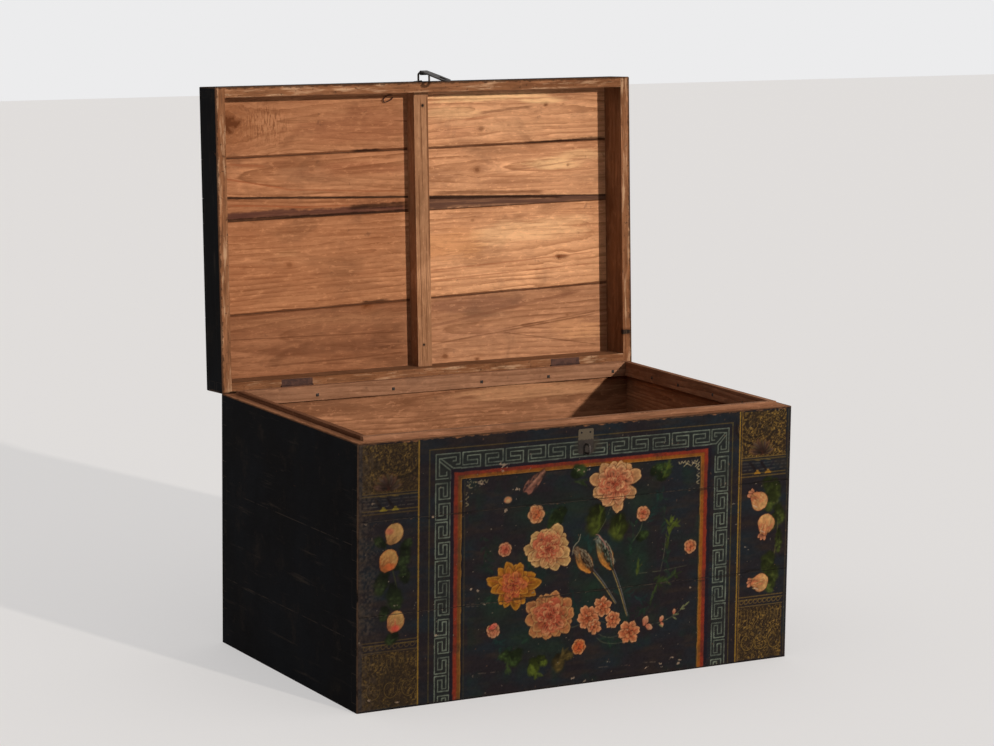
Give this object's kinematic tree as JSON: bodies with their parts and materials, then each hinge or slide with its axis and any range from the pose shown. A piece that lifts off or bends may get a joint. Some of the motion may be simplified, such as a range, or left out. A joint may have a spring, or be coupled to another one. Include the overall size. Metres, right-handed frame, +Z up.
{
  "type": "painted chest",
  "caption": "Low rectangular wooden storage chest with dovetailed board walls, an inner lip, a hinged box lid with an inner batten, and a hasp that closes over a staple on the front.",
  "frame": {"origin": "middle of the flat underside, on the floor", "axes": "+X to the right along the painted front as a person faces it, +Y from front to back, +Z up"},
  "size_m": [0.8, 0.6172, 0.952],
  "materials": {
    "painted_front": "worn traditional painting of flowers, birds and borders on dark ground",
    "painted_wood": "worn black paint outside, bare inside",
    "bare_wood": "old bare softwood",
    "iron": "dark forged iron",
    "hinge_iron": "dark iron with light rust"
  },
  "bodies": {
    "body": {"front_board_lower": "painted_front", "front_board_middle": "painted_front", "front_board_upper": "painted_front", "back_board_lower": "painted_wood", "back_board_middle": "painted_wood", "back_board_upper": "painted_wood", "left_board_lower": "painted_wood", "left_board_middle": "painted_wood", "left_board_upper": "painted_wood", "right_board_lower": "painted_wood", "right_board_middle": "painted_wood", "right_board_upper": "painted_wood", "front_lip": "bare_wood", "back_lip": "bare_wood", "left_lip": "bare_wood", "right_lip": "bare_wood", "bottom_board_1": "bare_wood", "bottom_board_2": "bare_wood", "bottom_board_3": "bare_wood", "bottom_board_4": "bare_wood", "lip_nails": "iron", "left_hinge_body_leaf": "hinge_iron", "right_hinge_body_leaf": "hinge_iron", "left_hinge_pin": "hinge_iron", "right_hinge_pin": "hinge_iron", "lock_plate": "iron", "lock_staple": "iron"},
    "lid": {"lid_front_wall": "painted_wood", "lid_back_wall": "painted_wood", "lid_left_wall": "painted_wood", "lid_right_wall": "painted_wood", "lid_plank_1": "painted_wood", "lid_plank_2": "painted_wood", "lid_plank_3": "painted_wood", "lid_plank_4": "painted_wood", "lid_plank_5": "painted_wood", "lid_batten": "bare_wood", "hasp_staple": "iron", "left_hinge_lid_leaf": "hinge_iron", "right_hinge_lid_leaf": "hinge_iron"},
    "hasp": {"hasp": "iron"}
  },
  "joints": [
    {"name": "lid_hinge", "type": "hinge", "parent": "body", "child": "lid", "pos_m": [0, 0.253, 0.4272], "axis": [1, 0, 0], "range_deg": [0, 93]},
    {"name": "hasp_hinge", "type": "hinge", "parent": "lid", "child": "hasp", "pos_m": [0.005, 0.30863, 0.948], "axis": [-1, 0, 0], "range_deg": [0, 150]}
  ]
}
